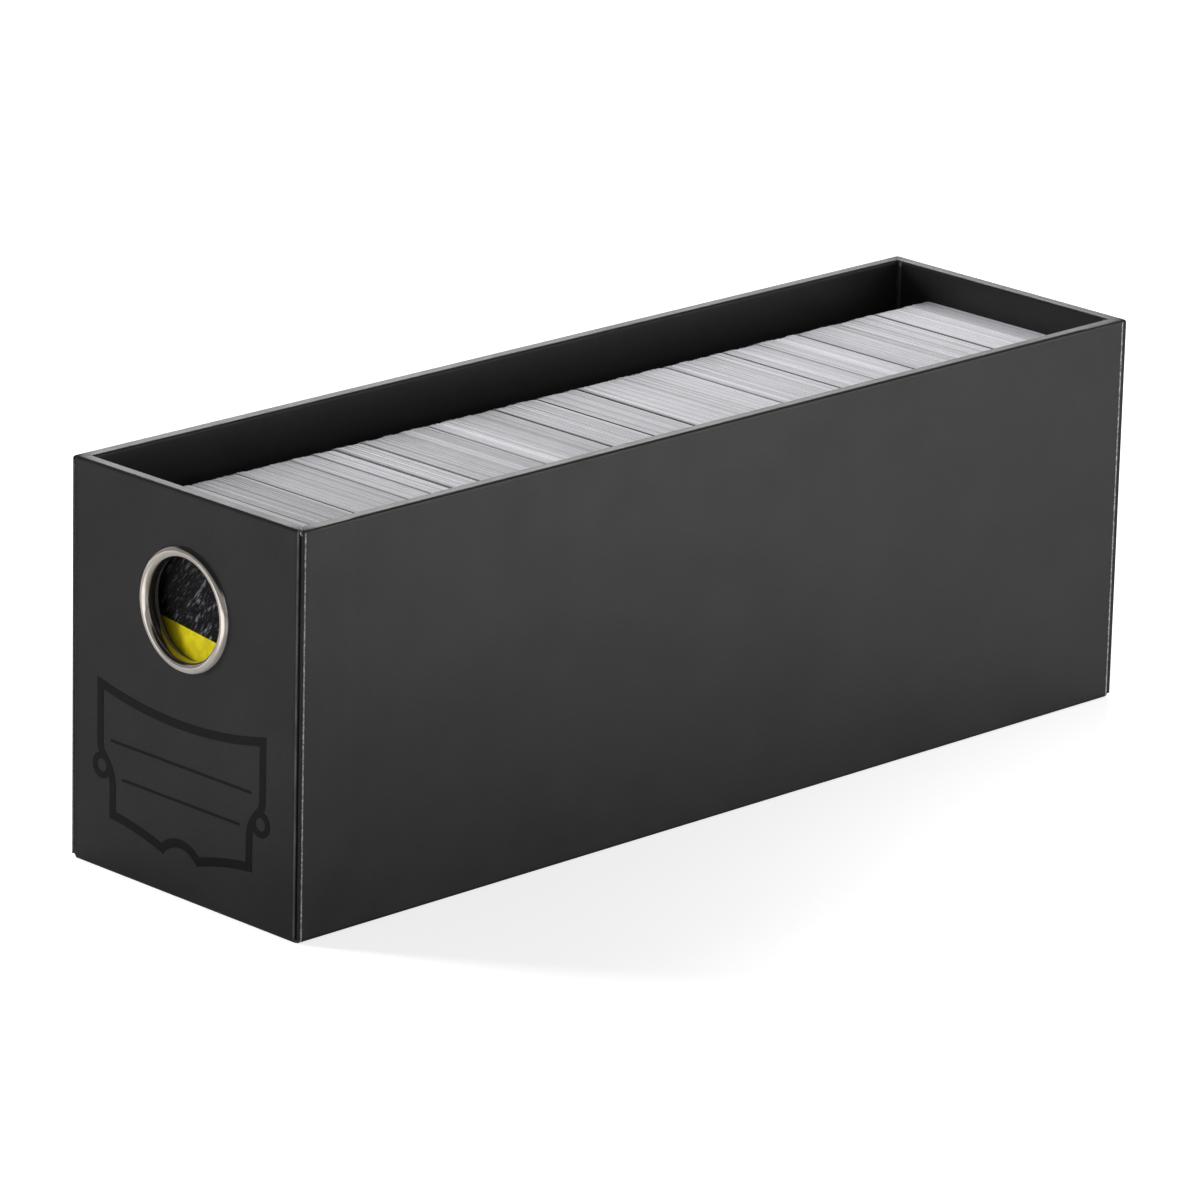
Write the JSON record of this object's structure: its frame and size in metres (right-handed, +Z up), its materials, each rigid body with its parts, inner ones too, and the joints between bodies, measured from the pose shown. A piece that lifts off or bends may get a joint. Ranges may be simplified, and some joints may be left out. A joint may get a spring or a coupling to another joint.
{
  "type": "trading card drawer box",
  "caption": "Open-topped rigid drawer box for trading cards, covered in dark matt paper, with a nickel finger ring, a printed label frame and a full row of standing cards.",
  "frame": {"origin": "centre of the base's underside, where the box stands", "axes": "+X to the right as the ringed front is faced, +Y from the ringed front to the back, +Z up from the base to the rim"},
  "size_m": [0.0794, 0.2812, 0.1],
  "materials": {
    "board_core": "matte",
    "covering": "matte",
    "lining": "matte",
    "stay_tape": "matte",
    "nickel": "polished",
    "varnish": "satin",
    "card_stock": "satin",
    "card_face": "satin"
  },
  "bodies": {
    "drawer_box": {"back_board": "board_core", "base_board": "board_core", "floor_lining": "lining", "front_board": "board_core", "label_frame": "varnish", "left_board": "board_core", "right_board": "board_core", "ring_face": "nickel", "stay_back_left": "stay_tape", "stay_back_right": "stay_tape", "stay_front_left": "stay_tape", "stay_front_right": "stay_tape", "wall_lining": "lining", "wrap_back_panel": "covering", "wrap_base_panel": "covering", "wrap_front_panel": "covering", "wrap_left_panel": "covering", "wrap_right_panel": "covering"},
    "front_card": {"front_card": "card_face"},
    "cards_01": {"cards_01": "card_stock"},
    "cards_02": {"cards_02": "card_stock"},
    "cards_03": {"cards_03": "card_stock"},
    "cards_04": {"cards_04": "card_stock"},
    "cards_05": {"cards_05": "card_stock"},
    "cards_06": {"cards_06": "card_stock"},
    "cards_07": {"cards_07": "card_stock"},
    "cards_08": {"cards_08": "card_stock"},
    "cards_09": {"cards_09": "card_stock"},
    "cards_10": {"cards_10": "card_stock"},
    "cards_11": {"cards_11": "card_stock"},
    "cards_12": {"cards_12": "card_stock"},
    "cards_13": {"cards_13": "card_stock"},
    "cards_14": {"cards_14": "card_stock"},
    "cards_15": {"cards_15": "card_stock"},
    "cards_16": {"cards_16": "card_stock"},
    "cards_17": {"cards_17": "card_stock"},
    "cards_18": {"cards_18": "card_stock"},
    "cards_19": {"cards_19": "card_stock"}
  },
  "joints": [
    {"name": "lift_front_card", "type": "slide", "parent": "drawer_box", "child": "front_card", "axis": [0, 0, 1], "range_m": [0, 0.105]},
    {"name": "lift_cards_01", "type": "slide", "parent": "drawer_box", "child": "cards_01", "axis": [0, 0, 1], "range_m": [0, 0.105]},
    {"name": "lift_cards_02", "type": "slide", "parent": "drawer_box", "child": "cards_02", "axis": [0, 0, 1], "range_m": [0, 0.105]},
    {"name": "lift_cards_03", "type": "slide", "parent": "drawer_box", "child": "cards_03", "axis": [0, 0, 1], "range_m": [0, 0.105]},
    {"name": "lift_cards_04", "type": "slide", "parent": "drawer_box", "child": "cards_04", "axis": [0, 0, 1], "range_m": [0, 0.105]},
    {"name": "lift_cards_05", "type": "slide", "parent": "drawer_box", "child": "cards_05", "axis": [0, 0, 1], "range_m": [0, 0.105]},
    {"name": "lift_cards_06", "type": "slide", "parent": "drawer_box", "child": "cards_06", "axis": [0, 0, 1], "range_m": [0, 0.105]},
    {"name": "lift_cards_07", "type": "slide", "parent": "drawer_box", "child": "cards_07", "axis": [0, 0, 1], "range_m": [0, 0.105]},
    {"name": "lift_cards_08", "type": "slide", "parent": "drawer_box", "child": "cards_08", "axis": [0, 0, 1], "range_m": [0, 0.105]},
    {"name": "lift_cards_09", "type": "slide", "parent": "drawer_box", "child": "cards_09", "axis": [0, 0, 1], "range_m": [0, 0.105]},
    {"name": "lift_cards_10", "type": "slide", "parent": "drawer_box", "child": "cards_10", "axis": [0, 0, 1], "range_m": [0, 0.105]},
    {"name": "lift_cards_11", "type": "slide", "parent": "drawer_box", "child": "cards_11", "axis": [0, 0, 1], "range_m": [0, 0.105]},
    {"name": "lift_cards_12", "type": "slide", "parent": "drawer_box", "child": "cards_12", "axis": [0, 0, 1], "range_m": [0, 0.105]},
    {"name": "lift_cards_13", "type": "slide", "parent": "drawer_box", "child": "cards_13", "axis": [0, 0, 1], "range_m": [0, 0.105]},
    {"name": "lift_cards_14", "type": "slide", "parent": "drawer_box", "child": "cards_14", "axis": [0, 0, 1], "range_m": [0, 0.105]},
    {"name": "lift_cards_15", "type": "slide", "parent": "drawer_box", "child": "cards_15", "axis": [0, 0, 1], "range_m": [0, 0.105]},
    {"name": "lift_cards_16", "type": "slide", "parent": "drawer_box", "child": "cards_16", "axis": [0, 0, 1], "range_m": [0, 0.105]},
    {"name": "lift_cards_17", "type": "slide", "parent": "drawer_box", "child": "cards_17", "axis": [0, 0, 1], "range_m": [0, 0.105]},
    {"name": "lift_cards_18", "type": "slide", "parent": "drawer_box", "child": "cards_18", "axis": [0, 0, 1], "range_m": [0, 0.105]},
    {"name": "lift_cards_19", "type": "slide", "parent": "drawer_box", "child": "cards_19", "axis": [0, 0, 1], "range_m": [0, 0.105]}
  ]
}
